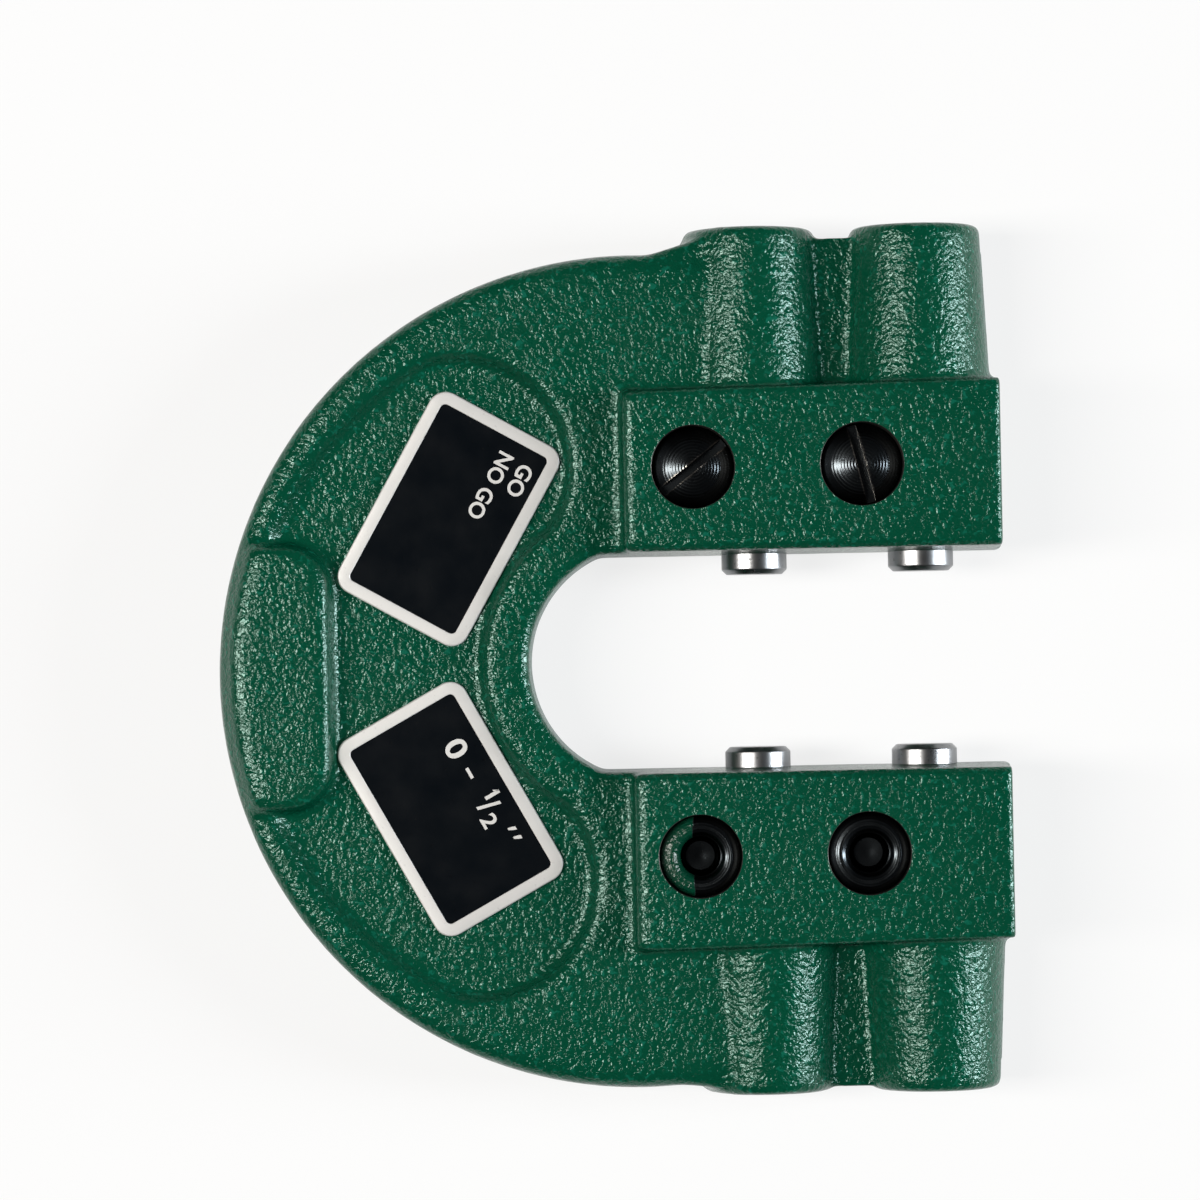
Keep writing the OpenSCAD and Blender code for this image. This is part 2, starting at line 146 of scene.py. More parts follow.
class GaugeCasting(bpy.types.PropertyGroup):
    """Shape and paint of the cast frame."""

    voxel: bpy.props.FloatProperty(
        name="Grain of the casting", description="Voxel size the cast surface is made at",
        default=0.2 * MM, min=0.1 * MM, unit="LENGTH", subtype="DISTANCE")
    soften: bpy.props.IntProperty(
        name="Cast softening", description="Smoothing passes on the as-cast surfaces",
        default=5)
    soften_blocks: bpy.props.IntProperty(
        name="Block softening", description="Smoothing passes on the jaw blocks",
        default=2)
    soften_worn: bpy.props.IntProperty(
        name="Corner softening", description="Smoothing passes where the casting is most rounded",
        default=14)
    unevenness: bpy.props.FloatProperty(
        name="Unevenness", description="Height of the slow waves in the as-cast surface",
        default=0.014 * MM, unit="LENGTH", subtype="DISTANCE")
    seam: bpy.props.FloatProperty(
        name="Parting seam", description="Height of the seam left where the mould's halves met",
        default=0.07 * MM, unit="LENGTH", subtype="DISTANCE")
    triangles: bpy.props.IntProperty(
        name="Triangles", description="Triangles kept before the bores are cut",
        default=130000)
    clearance: bpy.props.FloatProperty(
        name="Bore clearance", description="Gap left around pins, screws and bushes",
        default=0.015 * MM, unit="LENGTH", subtype="DISTANCE")
    lip: bpy.props.FloatProperty(
        name="Bore lip", description="Width of the eased edge at each bore",
        default=0.05 * MM, unit="LENGTH", subtype="DISTANCE")
    paint: bpy.props.FloatVectorProperty(
        name="Paint", description="Colour of the paint",
        default=(0.0004, 0.060, 0.030, 1.0), size=4, subtype="COLOR")
    # Lighter green on the paint's raised grains: a painted highlight standing in for the glints the grains
    # catch.
    crest_highlight: bpy.props.FloatVectorProperty(
        name="Paint crests", description="Colour of the paint on its raised grains",
        default=(0.004, 0.115, 0.070, 1.0), size=4, subtype="COLOR")
    grain: bpy.props.FloatProperty(
        name="Paint grain", description="Width of a grain of the textured paint",
        default=0.42 * MM, unit="LENGTH", subtype="DISTANCE")
    grain_height: bpy.props.FloatProperty(
        name="Grain height", description="Height of the paint's grains",
        default=0.044 * MM, unit="LENGTH", subtype="DISTANCE")


class GaugeFittings(bpy.types.PropertyGroup):
    """Turned steel fittings: pins, screws and bushes."""

    steps: bpy.props.IntProperty(
        name="Steps", description="Steps of each turned shape around its axis",
        default=72)
    bevel: bpy.props.FloatProperty(
        name="Pin bevel", description="Bevel at a pin's ends",
        default=0.35 * MM, unit="LENGTH", subtype="DISTANCE")
    ease: bpy.props.FloatProperty(
        name="Ease", description="Rounding of turned edges",
        default=0.07 * MM, unit="LENGTH", subtype="DISTANCE")
    adjust_pitch: bpy.props.FloatProperty(
        name="Adjusting pitch", description="Thread pitch of the adjusting screws",
        default=0.635 * MM, unit="LENGTH", subtype="DISTANCE")
    lock_pitch: bpy.props.FloatProperty(
        name="Locking pitch", description="Thread pitch of the locking screws",
        default=0.6 * MM, unit="LENGTH", subtype="DISTANCE")
    thread_depth: bpy.props.FloatProperty(
        name="Thread depth", description="Depth of the cut threads",
        default=0.26 * MM, unit="LENGTH", subtype="DISTANCE")
    dome: bpy.props.FloatProperty(
        name="Dome", description="Drop of a locking screw's round head from its middle to its rim",
        default=1.5 * MM, unit="LENGTH", subtype="DISTANCE")
    ring_pitch: bpy.props.FloatProperty(
        name="Ring pitch", description="Distance between turning rings on the heads",
        default=0.22 * MM, unit="LENGTH", subtype="DISTANCE")
    ring_depth: bpy.props.FloatProperty(
        name="Ring depth", description="Depth of the turning rings on the heads",
        default=0.022 * MM, unit="LENGTH", subtype="DISTANCE")
    lock_slot: bpy.props.FloatProperty(
        name="Locking slot", description="Width of the locking screws' slots",
        default=0.65 * MM, unit="LENGTH", subtype="DISTANCE")
    lock_slot_depth: bpy.props.FloatProperty(
        name="Locking slot depth", description="Depth of the locking screws' slots",
        default=1.1 * MM, unit="LENGTH", subtype="DISTANCE")
    adjust_slot: bpy.props.FloatProperty(
        name="Adjusting slot", description="Width of the adjusting screws' slots",
        default=0.8 * MM, unit="LENGTH", subtype="DISTANCE")
    adjust_slot_depth: bpy.props.FloatProperty(
        name="Adjusting slot depth", description="Depth of the adjusting screws' slots",
        default=1.2 * MM, unit="LENGTH", subtype="DISTANCE")
    steel: bpy.props.FloatVectorProperty(
        name="Ground steel", description="Colour of the gauging pins",
        default=(0.265, 0.27, 0.28, 1.0), size=4, subtype="COLOR")
    oxide: bpy.props.FloatVectorProperty(
        name="Black oxide", description="Colour of the blackened screws",
        default=(0.052, 0.060, 0.066, 1.0), size=4, subtype="COLOR")
    # Lighter steel along the slots' edges: partly black worn off, partly a painted highlight for the light
    # the edges catch.
    worn: bpy.props.FloatVectorProperty(
        name="Worn edges", description="Colour of steel where the black is worn off",
        default=(0.42, 0.39, 0.35, 1.0), size=4, subtype="COLOR")


class GaugePlates(bpy.types.PropertyGroup):
    """Printed metal plates and their lettering."""

    size: bpy.props.FloatVectorProperty(
        name="Size", description="Length, width and corner radius of a plate",
        default=(16.3 * MM, 10.5 * MM, 1.3 * MM), size=3, unit="LENGTH", subtype="XYZ_LENGTH")
    border: bpy.props.FloatProperty(
        name="Border", description="Width of the bare metal border",
        default=0.86 * MM, unit="LENGTH", subtype="DISTANCE")
    ease: bpy.props.FloatProperty(
        name="Ease", description="Rounding of a plate's rim",
        default=0.12 * MM, unit="LENGTH", subtype="DISTANCE")
    etch: bpy.props.FloatProperty(
        name="Etch", description="Depth of the printed field below the border",
        default=0.03 * MM, unit="LENGTH", subtype="DISTANCE")
    stroke: bpy.props.FloatProperty(
        name="Stroke", description="How much the letters are thickened",
        default=0.022)
    metal: bpy.props.FloatVectorProperty(
        name="Metal", description="Colour of the border and letters",
        default=(0.69, 0.685, 0.675, 1.0), size=4, subtype="COLOR")
    field: bpy.props.FloatVectorProperty(
        name="Field", description="Colour of the printed field",
        default=(0.0016, 0.0030, 0.0048, 1.0), size=4, subtype="COLOR")


class GaugeStage(bpy.types.PropertyGroup):
    """Camera, lamps and floor."""

    height: bpy.props.FloatProperty(
        name="Camera height", description="Distance of the camera above the gauge's middle",
        default=385 * MM, unit="LENGTH", subtype="DISTANCE")
    view_width: bpy.props.FloatProperty(
        name="View width", description="Width of the picture at the gauge's middle",
        default=87.59 * MM, unit="LENGTH", subtype="DISTANCE")
    roll: bpy.props.FloatProperty(
        name="Roll", description="Turn of the camera about its axis",
        default=math.radians(-1.15), unit="ROTATION", subtype="ANGLE")
    shift: bpy.props.FloatVectorProperty(
        name="Shift", description="Camera shift across and up",
        default=(-0.0158, 0.0527), size=2)
    centre_x: bpy.props.FloatProperty(
        name="Camera place", description="Place of the camera along the frame",
        default=0.35 * MM, unit="LENGTH", subtype="DISTANCE")
    floor: bpy.props.FloatVectorProperty(
        name="Floor", description="Colour of the floor",
        default=(0.86, 0.86, 0.86, 1.0), size=4, subtype="COLOR")
    sky: bpy.props.FloatVectorProperty(
        name="Sky", description="Light from all around",
        default=(0.035, 0.035, 0.036, 1.0), size=4, subtype="COLOR")
    left_level: bpy.props.FloatProperty(
        name="Left lamp", description="Power of the warm lamp",
        default=4.4, unit="POWER")
    right_level: bpy.props.FloatProperty(
        name="Right lamp", description="Power of the cool lamp",
        default=5.4, unit="POWER")


# Node helpers
def set_inputs(tree, node, inputs):
    """Links each input of a node to a socket, or sets it to a value."""
    for key, value in inputs.items():
        if isinstance(value, bpy.types.NodeSocket):
            tree.links.new(value, node.inputs[key])
        else:
            node.inputs[key].default_value = value


def add(tree, kind, inputs=None, **settings):
    """A new node with its settings made and its inputs set or linked."""
    made = tree.nodes.new(kind)
    for key, value in settings.items():
        setattr(made, key, value)
    set_inputs(tree, made, inputs or {})
    return made


def worked(tree, operation, *values):
    """The output of a math node."""
    return add(tree, "ShaderNodeMath", dict(enumerate(values)), operation=operation).outputs[0]


def ramp(tree, value, start, end, low=0.0, high=1.0, blend="LINEAR"):
    """A value brought from the range start to end into the range low to high, and held there."""
    ends = {"From Min": start, "From Max": end, "To Min": low, "To Max": high}
    return add(tree, "ShaderNodeMapRange", {"Value": value, **ends}, interpolation_type=blend).outputs[0]


def grains(tree, vector, scale, detail, roughness=0.5, distortion=0.0):
    """The output of a noise texture, with its scale in counts per unit of the vector."""
    inputs = {"Vector": vector, "Scale": scale, "Detail": detail}
    inputs.update({"Roughness": roughness, "Distortion": distortion})
    return add(tree, "ShaderNodeTexNoise", inputs).outputs[0]


def bumped(tree, height, distance, **more):
    """A surface normal raised by a height in shares of a distance."""
    inputs = {"Strength": 1.0, "Distance": distance, "Height": height, **more}
    return add(tree, "ShaderNodeBump", inputs).outputs[0]


def mixed(tree, mask, first, second):
    """A colour that goes from first to second with the mask."""
    made = add(tree, "ShaderNodeMix", {"Factor": mask}, data_type="RGBA")
    colours = [number for number, socket in enumerate(made.inputs) if socket.type == "RGBA"]
    set_inputs(tree, made, dict(zip(colours, (first, second))))
    return next(socket for socket in made.outputs if socket.type == "RGBA")


def blended(tree, share, first, second):
    """A shader node that goes from the first shader to the second with the share."""
    return add(tree, "ShaderNodeMixShader", {0: share, 1: first.outputs[0], 2: second.outputs[0]})


def seen_share(tree, mirrored):
    """One for rays from the camera, and the given share for rays by way of metal or glass."""
    path = add(tree, "ShaderNodeLightPath").outputs
    ways = worked(tree, "MAXIMUM", path["Is Glossy Ray"], path["Is Transmission Ray"])
    return worked(tree, "MAXIMUM", path["Is Camera Ray"], worked(tree, "MULTIPLY", ways, mirrored))


def shaded(colour, share):
    """A colour darkened to a share of itself, with full alpha."""
    return tuple(share * c for c in colour[:3]) + (1.0,)


def object_coords(tree):
    """The output of object coordinates."""
    return add(tree, "ShaderNodeTexCoord").outputs["Object"]


def node_of_type(tree, kind):
    """The first node of a type in a tree."""
    return next(node for node in tree.nodes if node.type == kind)


def new_material(name):
    """A node material with its Principled shader, as (material, tree, shader)."""
    made = bpy.data.materials.new(name)
    made.use_nodes = True
    return made, made.node_tree, node_of_type(made.node_tree, "BSDF_PRINCIPLED")


def new_group(name, takes, gives):
    """A shader node group with its sockets, as (tree, input node, output node)."""
    tree = bpy.data.node_groups.new(name, "ShaderNodeTree")
    for side, sockets in (("INPUT", takes), ("OUTPUT", gives)):
        for socket, kind in sockets.items():
            tree.interface.new_socket(name=socket, in_out=side, socket_type=f"NodeSocket{kind}")
    return tree, tree.nodes.new("NodeGroupInput"), tree.nodes.new("NodeGroupOutput")


# Node groups and materials
def paint_grain_group():
    """Height and crests of a textured paint, from object coordinates and a grain count per metre."""
    if "paint_grain" in bpy.data.node_groups:
        return bpy.data.node_groups["paint_grain"]
    tree, takes, gives = new_group("paint_grain", {"Vector": "Vector", "Scale": "Float"},
                                   {"Height": "Float", "Crest": "Float"})
    vector, scale = takes.outputs["Vector"], takes.outputs["Scale"]
    coarse = grains(tree, vector, scale, detail=2.0, roughness=0.55, distortion=0.4)
    fine = grains(tree, vector, worked(tree, "MULTIPLY", scale, 2.6), detail=1.0)
    rise = ramp(tree, coarse, 0.30, 0.72, blend="SMOOTHSTEP")
    set_inputs(tree, gives, {
        "Height": worked(tree, "MULTIPLY_ADD", fine, 0.30, rise),
        # Crest marks the raised grains, where the paint is given its painted highlight colour.
        "Crest": ramp(tree, coarse, 0.55, 0.72, blend="SMOOTHSTEP"),
    })
    return tree


def paint_grain(tree, coords, casting):
    """A node with the height and crests of the casting's paint."""
    inputs = {"Vector": coords, "Scale": 1.0 / casting.grain}
    return add(tree, "ShaderNodeGroup", inputs, node_tree=paint_grain_group())


def tool_marks_group():
    """Tool lines and pits of machined metal, from coordinates and from ones stretched along the lines."""
    if "tool_marks" in bpy.data.node_groups:
        return bpy.data.node_groups["tool_marks"]
    tree, takes, gives = new_group("tool_marks", {"Vector": "Vector", "Lines": "Vector"},
                                   {"Height": "Float", "Pits": "Float"})
    lines = grains(tree, takes.outputs["Lines"], 1.0, detail=3.0, roughness=0.6)
    spots = grains(tree, takes.outputs["Vector"], 3600.0, detail=2.0)
    pits = ramp(tree, spots, 0.64, 0.74, blend="SMOOTHSTEP")
    set_inputs(tree, gives, {"Height": worked(tree, "MULTIPLY_ADD", pits, -0.8, lines), "Pits": pits})
    return tree


def paint_material(casting):
    """Glossy green textured paint, lighter on its raised grains as a painted highlight."""
    made, tree, shader = new_material("green_paint")
    coords = object_coords(tree)
    grain = paint_grain(tree, coords, casting)
    patches = grains(tree, coords, 190.0, detail=3.0)
    set_inputs(tree, shader, {
        # Raised grains get the lighter green: a painted highlight for the glints they catch.
        "Base Color": mixed(tree, grain.outputs["Crest"], casting.paint, casting.crest_highlight),
        "Roughness": ramp(tree, patches, 0.3, 0.7, low=0.13, high=0.20),
        "Normal": bumped(tree, grain.outputs["Height"], casting.grain_height),
        "Specular IOR Level": 0.5,
        "Specular Tint": (0.70, 1.0, 0.92, 1.0),
    })
    return made


def metal_material(name, colour, roughness, stretch, mark_height, metallic=1.0, pits=None, specular=0.5):
    """Machined metal with tool lines stretched by the given counts per metre along x, y and z."""
    made, tree, shader = new_material(name)
    coords = object_coords(tree)
    lines = add(tree, "ShaderNodeMapping", {"Vector": coords, "Scale": stretch}).outputs[0]
    marks = add(tree, "ShaderNodeGroup", {"Vector": coords, "Lines": lines}, node_tree=tool_marks_group())
    stains = grains(tree, coords, 420.0, detail=4.0)
    set_inputs(tree, shader, {
        "Base Color": mixed(tree, marks.outputs["Pits"], tuple(colour), pits or shaded(colour, 0.55)),
        "Roughness": ramp(tree, stains, 0.3, 0.7, low=0.85 * roughness, high=1.25 * roughness),
        "Normal": bumped(tree, marks.outputs["Height"], mark_height),
        "Metallic": metallic,
        "Specular IOR Level": specular,
    })
    return made


def black_material(name, colour, roughness):
    """Black oxide on steel."""
    return metal_material(name, colour, roughness, stretch=(900.0, 900.0, 900.0), mark_height=0.004 * MM)


def opened(made):
    """A finished material as (tree, shader, colour output, object coordinates)."""
    tree = made.node_tree
    shader = node_of_type(tree, "BSDF_PRINCIPLED")
    return tree, shader, shader.inputs["Base Color"].links[0].from_socket, object_coords(tree)


def screw_material(name, settings, centre, turn, side):
    """Black oxide with lighter steel along the slot's edges, partly worn-off black and partly a painted
    highlight, centred and turned to the slot.
    """
    made = black_material(name, settings.oxide, roughness=0.21)
    tree, shader, black, coords = opened(made)
    half = settings.lock_slot / 2
    wobble = 0.30 * MM
    head_from = 4.0 * MM
    inputs = {"Vector": coords, "Location": centre, "Rotation": (0.0, 0.0, turn)}
    place = add(tree, "ShaderNodeMapping", inputs, vector_type="TEXTURE")
    across = add(tree, "ShaderNodeSeparateXYZ", {0: place.outputs[0]}).outputs
    away = worked(tree, "ABSOLUTE", across["Y"])
    edge = worked(tree, "MULTIPLY_ADD", grains(tree, coords, 2300.0, detail=3.0), wobble, away)
    worn = ramp(tree, edge, half + 0.24 * MM, half + 0.10 * MM)
    beside = worked(tree, "GREATER_THAN", away, half - 0.01 * MM)
    head = worked(tree, "GREATER_THAN", worked(tree, "MULTIPLY", across["Z"], side), head_from)
    mask = worked(tree, "MULTIPLY", worked(tree, "MULTIPLY", worn, beside), head)
    # Along the slot's edges the colour goes to light steel: partly wear, partly a painted edge highlight.
    set_inputs(tree, shader, {"Base Color": mixed(tree, mask, black, settings.worn)})
    return made


def painted_bush_material(name, colour, casting, centre):
    """Black oxide with the frame's paint over one side, up to a wavy line left of the middle."""
    made = black_material(name, colour, roughness=0.22)
    tree, shader, black, coords = opened(made)
    wobble = 0.7 * MM
    edge_width = 0.08 * MM
    painted_depth = 1.2 * MM
    place = add(tree, "ShaderNodeMapping", {"Vector": coords, "Location": centre}, vector_type="TEXTURE")
    across = add(tree, "ShaderNodeSeparateXYZ", {0: place.outputs[0]}).outputs
    line = worked(tree, "MULTIPLY_ADD", grains(tree, coords, 700.0, detail=3.0), wobble, across["X"])
    side = ramp(tree, line, 0.0, -edge_width)
    front = worked(tree, "GREATER_THAN", across["Z"], -painted_depth)
    mask = worked(tree, "MULTIPLY", side, front)
    raised = worked(tree, "MULTIPLY", paint_grain(tree, coords, casting).outputs["Height"], mask)
    metal_normal = shader.inputs["Normal"].links[0].from_socket
    set_inputs(tree, shader, {
        "Base Color": mixed(tree, mask, black, shaded(casting.paint, 0.75)),
        "Normal": bumped(tree, raised, casting.grain_height, Normal=metal_normal),
        "Metallic": worked(tree, "SUBTRACT", 1.0, mask),
    })
    return made


# Shape helpers
def eased(points, radius, parts=4):
    """A profile with each inner corner rounded by about the radius."""
    out = [Vector(points[0])]
    for before, corner, after in zip(points, points[1:], points[2:]):
        before, corner, after = Vector(before), Vector(corner), Vector(after)
        start = corner + (before - corner).normalized() * min(radius, (before - corner).length * 0.45)
        end = corner + (after - corner).normalized() * min(radius, (after - corner).length * 0.45)
        for i in range(parts + 1):
            t = i / parts
            out.append(start * (1 - t) ** 2 + corner * 2 * t * (1 - t) + end * t ** 2)
    out.append(Vector(points[-1]))
    return out


def lathe(profile, steps):
    """A shape turned about Z from a profile of (radius, height) points."""
    bm = bmesh.new()
    row = [bm.verts.new((r, 0.0, z)) for r, z in profile]
    geom = row + [bm.edges.new(pair) for pair in zip(row, row[1:])]
    bmesh.ops.spin(bm, geom=geom, cent=(0, 0, 0), axis=(0, 0, 1), angle=2 * math.pi, steps=steps,
                   use_merge=True)
    bmesh.ops.remove_doubles(bm, verts=bm.verts, dist=1e-8)
    bmesh.ops.recalc_face_normals(bm, faces=bm.faces)
    return bm


def rows(start, end, step):
    """Evenly spaced values from start to end, both included."""
    count = max(1, round(abs(end - start) / step))
    return [start + (end - start) * i / count for i in range(count + 1)]


def cut_thread(bm, radius, depth, pitch, low, high):
    """Moves the points of a turned wall at this radius outward along a helix between two heights."""
    steepness = 2.2
    root_share = 0.05
    for v in bm.verts:
        r = math.hypot(v.co.x, v.co.y)
        if abs(r - radius) > 1e-7 or not low <= v.co.z <= high:
            continue
        turn = v.co.z / pitch - math.atan2(v.co.y, v.co.x) / (2 * math.pi)
        wave = min(1.0, max(0.0, steepness * abs((turn % 1.0) - 0.5) - root_share))
        ends = min(1.0, (v.co.z - low) / pitch, (high - v.co.z) / pitch)
        scale = (r + depth * wave * max(0.0, ends)) / r
        v.co.x *= scale
        v.co.y *= scale


def new_object(name, bm, materials, sharp=40.0):
    """An object from a bmesh, with materials, smooth faces and sharp creases."""
    mesh = bpy.data.meshes.new(name)
    bm.to_mesh(mesh)
    bm.free()
    for made in materials:
        mesh.materials.append(made)
    obj = bpy.data.objects.new(name, mesh)
    bpy.context.scene.collection.objects.link(obj)
    return crease(obj, sharp)


def evaluated(obj):
    """Applies an object's modifiers to its mesh."""
    bpy.context.view_layer.update()
    mesh = bpy.data.meshes.new_from_object(obj.evaluated_get(bpy.context.evaluated_depsgraph_get()))
    obj.modifiers.clear()
    old, obj.data = obj.data, mesh
    bpy.data.meshes.remove(old)


def carve(obj, cutter_bm, index=0):
    """Cuts a closed shape out of an object; the cut faces take the material at this index."""
    before = len(obj.data.polygons)
    for face in cutter_bm.faces:
        face.material_index = index
    cutter = new_object("cutter", cutter_bm, list(obj.data.materials))
    cut = obj.modifiers.new("cut", "BOOLEAN")
    cut.operation, cut.object, cut.solver = "DIFFERENCE", cutter, "MANIFOLD"
    evaluated(obj)
    mesh = cutter.data
    bpy.data.objects.remove(cutter)
    bpy.data.meshes.remove(mesh)
    if not len(obj.data.polygons) or len(obj.data.polygons) == before:
        raise RuntimeError(f"nothing was cut out of {obj.name}")


def cut_slot(obj, radius, top, width, depth, turn=0.0):
    """Cuts a straight slot across the end of a turned piece, at a turn about its axis."""
    slot = bmesh.new()
    size = Matrix.Diagonal((4 * radius, width, 2 * depth, 1.0))
    spin = Matrix.Rotation(turn, 4, "Z")
    bmesh.ops.create_cube(slot, size=1.0, matrix=spin @ Matrix.Translation((0, 0, top)) @ size)
    carve(obj, slot)


def join_into(out, bm, place):
    """Adds a shape, set in its place, to another."""
    bmesh.ops.transform(bm, matrix=place, verts=bm.verts)
    mesh = bpy.data.meshes.new("part")
    bm.to_mesh(mesh)
    bm.free()
    out.from_mesh(mesh)
    bpy.data.meshes.remove(mesh)


def smooth(bm, verts, passes):
    """Smooths the given points a number of times."""
    for _ in range(passes):
        bmesh.ops.smooth_vert(bm, verts=verts, factor=0.5, use_axis_x=True, use_axis_y=True, use_axis_z=True)


def crease(obj, sharp=40.0):
    """Smooth faces and sharp creases on a finished mesh."""
    obj.data.polygons.foreach_set("use_smooth", [True] * len(obj.data.polygons))
    obj.data.set_sharp_from_angle(angle=math.radians(sharp))
    return obj


def finish_piece(obj, body, node):
    """Puts a piece on its body and, where one is given, in place of a CAD node."""
    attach(obj, body)
    if node:
        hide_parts(node)


def along_y(node):
    """Axis frame, radius and length of a fitting along Y, with the frame's +Z pointing out of the jaw."""
    low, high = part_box(node)
    out = 1.0 if low.y + high.y > 0 else -1.0
    start = low.y if out > 0 else high.y
    turn = Matrix.Rotation(math.radians(-90.0 * out), 4, "X")
    place = Matrix.Translation(((low.x + high.x) / 2, start, (low.z + high.z) / 2)) @ turn
    return place, (high.x - low.x) / 2, high.y - low.y


def middle_height():
    """Height of the gauge's middle plane."""
    low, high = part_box("frame")
    return (low.z + high.z) / 2


def along_z(node, flipped):
    """Axis frame and radius of a fitting in a cross hole, from the middle plane out to its visible end."""
    low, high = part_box(node)
    mid = middle_height()
    place = Matrix.Translation(((low.x + high.x) / 2, (low.y + high.y) / 2, mid))
    if flipped:
        place = place @ Matrix.Rotation(math.pi, 4, "X")
    ends = (mid - high.z, mid - low.z) if flipped else (low.z - mid, high.z - mid)
    return place, (high.x - low.x) / 2, ends


def turned_ring(f, x):
    """Share of the turning rings' depth at a distance from the axis."""
    return 0.5 - 0.5 * math.cos(2 * math.pi * x / f.ring_pitch)


def fittings(kind):
    """Jaw, station and CAD node of each of four like fittings."""
    return [(jaw, station, f"{jaw}_{station}_{kind}") for jaw in JAWS for station in STATIONS]


class GAUGE_OT_casting(bpy.types.Operator):
    """Builds the painted cast frame with its bores."""

    bl_idname = "gauge.casting"
    bl_label = "Cast frame"

    def execute(self, context):
        s = context.scene.gauge_casting
        f = context.scene.gauge_fittings
        mid = middle_height()
        low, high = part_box("frame")
        bm = bmesh.new()
        bm.from_mesh(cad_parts["frame"].data)
        bmesh.ops.remove_doubles(bm, verts=bm.verts, dist=1e-6)
        self.plug(bm, low, high)
        obj = new_object("casting", bm, [])
        remesh = obj.modifiers.new("remesh", "REMESH")
        remesh.mode, remesh.voxel_size, remesh.adaptivity = "VOXEL", s.voxel, 0.0
        evaluated(obj)
        bm = bmesh.new()
        bm.from_mesh(obj.data)
        cast = [v for v in bm.verts if not self.on_block(v.co, mid)]
        smooth(bm, bm.verts, s.soften_blocks)
        worn = [v for v in bm.verts if self.well_rounded(v.co, mid)]
        smooth(bm, cast, s.soften)
        smooth(bm, worn, s.soften_worn)
        bm.normal_update()
        for v in cast:
            rise = noise.noise(v.co * SLOW_WAVES) + 0.5 * noise.noise(v.co * QUICK_WAVES + WAVE_SHIFT)
            v.co += v.normal * (rise * s.unevenness + self.seam_rise(v, mid) * s.seam)
        bm.to_mesh(obj.data)
        bm.free()
        less = obj.modifiers.new("less", "DECIMATE")
        less.ratio = min(1.0, s.triangles / (2.0 * len(obj.data.polygons)))
        evaluated(obj)
        obj.data.materials.clear()
        obj.data.materials.append(paint_material(s))
        bare = metal_material("bore_steel", (0.10, 0.095, 0.09, 1.0), roughness=0.42,
                              stretch=(500.0, 7000.0, 500.0), mark_height=0.006 * MM)
        obj.data.materials.append(bare)
        carve(obj, self.pin_bores(s, f), index=1)
        carve(obj, self.lock_holes(s), index=1)
        crease(obj, sharp=38.0)
        finish_piece(obj, "frame", "frame")
        return {"FINISHED"}

    @staticmethod
    def on_block(co, mid):
        """Whether a point is on a jaw block's outer part or a barrel's end, which keep crisper edges."""
        block = abs(co.y) > BLOCK_Y and co.x > BLOCK_X and abs(co.z - mid) > BLOCK_Z
        return block or (abs(co.y) > BARREL_END_Y and co.x > BARREL_END_X)

    @staticmethod
    def well_rounded(co, mid):
        """Whether a point is on the thumb pad, at a jaw block's root or at the shoulder by a barrel."""
        pad = co.x < PAD_X and abs(co.y) < PAD_Y
        root = abs(co.y) > BLOCK_Y and ROOT_X[0] < co.x < ROOT_X[1] and abs(co.z - mid) > ROOT_Z
        shoulder = abs(co.y) > SHOULDER_Y and co.x < SHOULDER_X
        return pad or root or shoulder

    @staticmethod
    def seam_rise(v, mid):
        """Share of the parting seam's height at a point: on outer walls only, at the middle plane."""
        inside = abs(v.co.y) < GAP_Y and v.co.x > GAP_X
        if inside or abs(v.normal.z) > 0.4:
            return 0.0
        return max(0.0, 1.0 - ((v.co.z - mid) / SEAM_HALF_WIDTH) ** 2) ** 2

    @staticmethod
    def plug(bm, low, high):
        """Fills the CAD's bores, so that the cast skin can be made without them."""
        over = 0.02 * MM
        for jaw, station, node in fittings("pin"):
            place, radius, _ = along_y(node)
            _, screw_radius, _ = along_y(f"{jaw}_{station}_adjusting_screw")
            end = high.y if place.translation.y > 0 else -low.y
            pin_plug = (JAW_FACE + over, radius + 2 * over)
            screw_plug = (BORE_STEP - 5 * over, screw_radius + 3.5 * over)
            for start, r in (pin_plug, screw_plug):
                spot = place @ Matrix.Translation((0, 0, (start + end) / 2 - abs(place.translation.y)))
                bmesh.ops.create_cone(bm, cap_ends=True, segments=PLUG_STEPS, radius1=r, radius2=r,
                                      depth=end - start, matrix=spot)
        for _, _, node in fittings("locking_screw"):
            a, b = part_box(node)
            place = Matrix.Translation(((a.x + b.x) / 2, (a.y + b.y) / 2, (low.z + high.z) / 2))
            r = (b.x - a.x) / 2 + 3 * over
            bmesh.ops.create_cone(bm, cap_ends=True, segments=PLUG_STEPS, radius1=r, radius2=r,
                                  depth=high.z - low.z, matrix=place)

    @staticmethod
    def pin_bores(s, f):
        """Cutter for the four stepped and threaded pin bores."""
        low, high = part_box("frame")
        out = bmesh.new()
        for jaw, station, node in fittings("pin"):
            place, radius, _ = along_y(node)
            _, screw_radius, _ = along_y(f"{jaw}_{station}_adjusting_screw")
            base = abs(place.translation.y)
            end = (high.y if place.translation.y > 0 else -low.y) - base
            r = radius + s.clearance
            wide = screw_radius + SCREW_PLAY
            face, step = JAW_FACE - base, BORE_STEP - base
            threaded = rows(end - BORE_THREAD, end - 0.1 * MM, f.adjust_pitch / 8)
            profile = [(0.0, face - 2 * MM), (r + s.lip + 2 * MM, face - 2 * MM), (r, face + s.lip)]
            profile += [(r, step), (wide, step + (wide - r))]
            profile += [(wide, z) for z in threaded]
            profile += [(wide + s.lip, end + 0.02 * MM), (wide + s.lip, end + MM), (0.0, end + MM)]
            bm = lathe(profile, BORE_STEPS)
            cut_thread(bm, wide, f.thread_depth, f.adjust_pitch, threaded[0], threaded[-1])
            join_into(out, bm, place)
        return out

